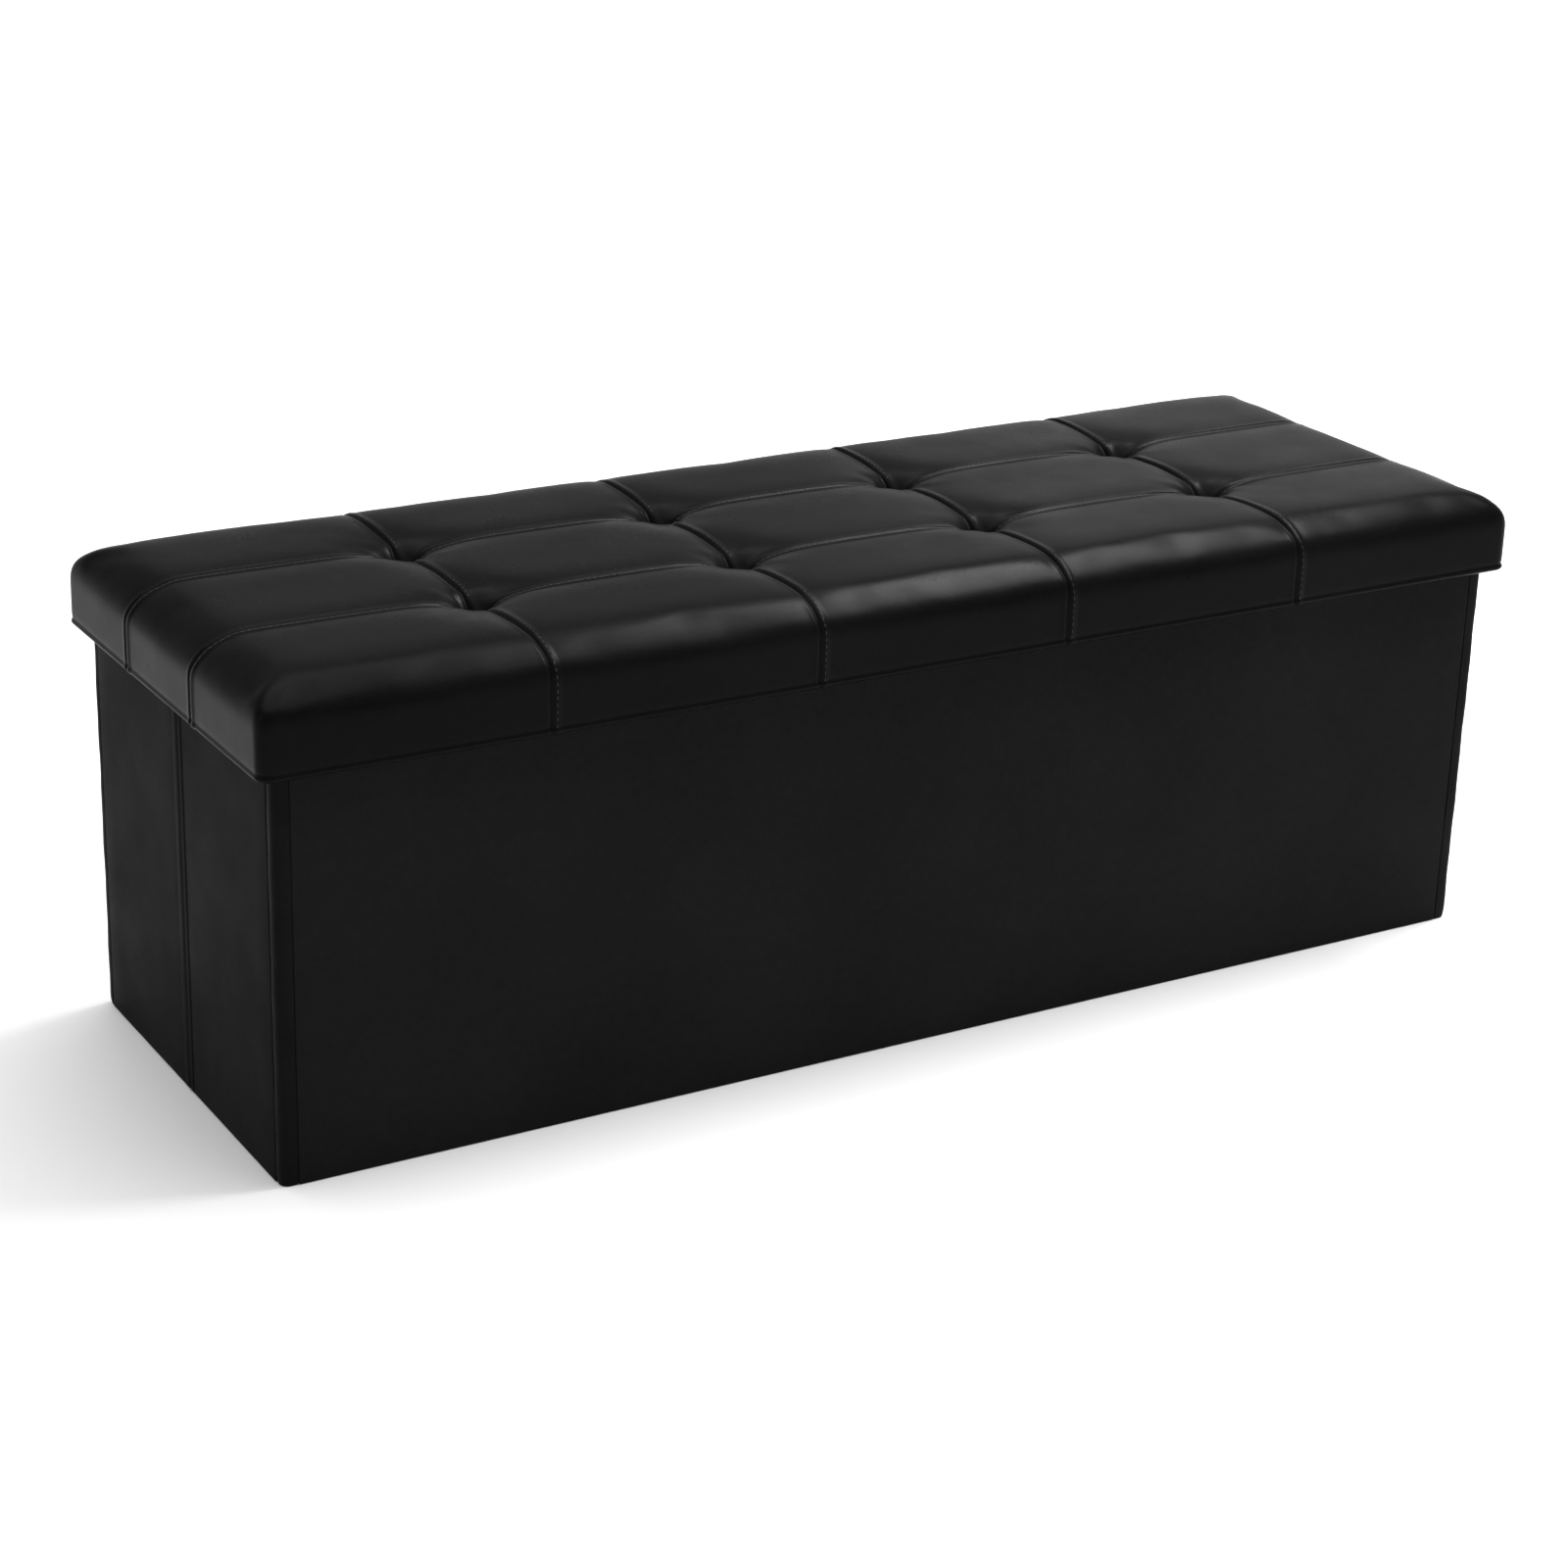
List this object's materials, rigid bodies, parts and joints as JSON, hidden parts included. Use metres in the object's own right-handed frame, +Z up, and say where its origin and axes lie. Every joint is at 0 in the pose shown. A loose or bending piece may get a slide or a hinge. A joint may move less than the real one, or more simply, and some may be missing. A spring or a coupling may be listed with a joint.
{
  "type": "ottoman with storage",
  "caption": "Long folding storage ottoman: padded tufted lift-off lid over a box of hinged upholstered boards with a fold-up base.",
  "frame": {"origin": "on the floor, under the middle of the lid's plan", "axes": "+X along the length, towards the right end; +Y from the front wall to the rear wall; +Z up"},
  "size_m": [1.1, 0.38, 0.38],
  "materials": {
    "lid_leatherette": "satin black faux leather with fine grain, smooth and a little glossy",
    "wall_leatherette": "matt black faux leather stretched flat over board",
    "spine_leatherette": "matt black faux leather corner binding",
    "nonwoven_lining": "black spunbond non-woven cloth",
    "fibreboard": "raw fibreboard",
    "foam": "open-cell upholstery foam",
    "twine": "dark waxed tufting twine",
    "anchor_plastic": "matt black moulded plastic"
  },
  "bodies": {
    "front_wall": {"base_left_gusset": "nonwoven_lining", "base_right_gusset": "nonwoven_lining", "front_wall_board": "fibreboard", "front_wall_cover": "wall_leatherette", "front_wall_lining": "nonwoven_lining", "left_front_hinge": "nonwoven_lining", "left_front_spine": "spine_leatherette", "right_front_hinge": "nonwoven_lining", "right_front_spine": "spine_leatherette"},
    "left_end_front": {"left_centre_hinge": "wall_leatherette", "left_end_front_board": "fibreboard", "left_end_front_cover": "wall_leatherette", "left_end_front_lining": "nonwoven_lining"},
    "left_end_rear": {"left_end_rear_board": "fibreboard", "left_end_rear_cover": "wall_leatherette", "left_end_rear_lining": "nonwoven_lining"},
    "rear_wall": {"left_rear_hinge": "nonwoven_lining", "left_rear_spine": "spine_leatherette", "rear_wall_board": "fibreboard", "rear_wall_cover": "wall_leatherette", "rear_wall_lining": "nonwoven_lining", "right_rear_hinge": "nonwoven_lining", "right_rear_spine": "spine_leatherette"},
    "right_end_front": {"right_centre_hinge": "wall_leatherette", "right_end_front_board": "fibreboard", "right_end_front_cover": "wall_leatherette", "right_end_front_lining": "nonwoven_lining"},
    "right_end_rear": {"right_end_rear_board": "fibreboard", "right_end_rear_cover": "wall_leatherette", "right_end_rear_lining": "nonwoven_lining"},
    "base_front_leaf": {"base_front_board": "fibreboard", "base_front_cover": "nonwoven_lining", "base_pull_tab": "nonwoven_lining"},
    "base_rear_leaf": {"base_rear_board": "fibreboard", "base_rear_cover": "nonwoven_lining"},
    "lid": {"lid_board": "fibreboard", "lid_cover": "lid_leatherette", "lid_foam": "foam", "lid_lining": "nonwoven_lining", "lid_rim_front": "fibreboard", "lid_rim_left": "fibreboard", "lid_rim_rear": "fibreboard", "lid_rim_right": "fibreboard", "tuft_anchor_1": "anchor_plastic", "tuft_anchor_2": "anchor_plastic", "tuft_anchor_3": "anchor_plastic", "tuft_anchor_4": "anchor_plastic", "tuft_anchor_5": "anchor_plastic", "tuft_anchor_6": "anchor_plastic", "tuft_anchor_7": "anchor_plastic", "tuft_anchor_8": "anchor_plastic", "tuft_tie_1": "twine", "tuft_tie_2": "twine", "tuft_tie_3": "twine", "tuft_tie_4": "twine", "tuft_tie_5": "twine", "tuft_tie_6": "twine", "tuft_tie_7": "twine", "tuft_tie_8": "twine"}
  },
  "joints": [
    {"name": "lid_lift", "type": "slide", "parent": "front_wall", "child": "lid", "axis": [0, 0, 1], "range_m": [0, 0.4]},
    {"name": "left_front_corner", "type": "hinge", "parent": "front_wall", "child": "left_end_front", "pos_m": [-0.5225, -0.1625, 0], "axis": [0, 0, -1], "range_deg": [0, 88], "deforming": ["base_left_gusset", "base_right_gusset"]},
    {"name": "left_centre_fold", "type": "hinge", "parent": "left_end_front", "child": "left_end_rear", "pos_m": [-0.5382, 0, 0], "axis": [0, 0, 1], "range_deg": [0, 176]},
    {"name": "left_rear_corner", "type": "hinge", "parent": "left_end_rear", "child": "rear_wall", "pos_m": [-0.5225, 0.1625, 0], "axis": [0, 0, -1], "range_deg": [0, 88]},
    {"name": "right_front_corner", "type": "hinge", "parent": "front_wall", "child": "right_end_front", "pos_m": [0.5225, -0.1625, 0], "axis": [0, 0, 1], "range_deg": [0, 88]},
    {"name": "right_centre_fold", "type": "hinge", "parent": "right_end_front", "child": "right_end_rear", "pos_m": [0.5382, 0, 0], "axis": [0, 0, -1], "range_deg": [0, 176]},
    {"name": "base_front_fold", "type": "hinge", "parent": "front_wall", "child": "base_front_leaf", "pos_m": [0, -0.1657, 0.0064], "axis": [1, 0, 0], "range_deg": [0, 88]},
    {"name": "base_rear_fold", "type": "hinge", "parent": "rear_wall", "child": "base_rear_leaf", "pos_m": [0, 0.1657, 0.0064], "axis": [-1, 0, 0], "range_deg": [0, 88]}
  ],
  "couplings": [
    {"joint": "left_front_corner", "follows": "left_centre_fold", "ratio": 0.5},
    {"joint": "left_rear_corner", "follows": "left_centre_fold", "ratio": 0.5},
    {"joint": "right_front_corner", "follows": "left_centre_fold", "ratio": 0.5},
    {"joint": "right_centre_fold", "follows": "left_centre_fold", "ratio": 1},
    {"joint": "base_front_fold", "follows": "left_centre_fold", "ratio": 0.5},
    {"joint": "base_rear_fold", "follows": "left_centre_fold", "ratio": 0.5}
  ]
}
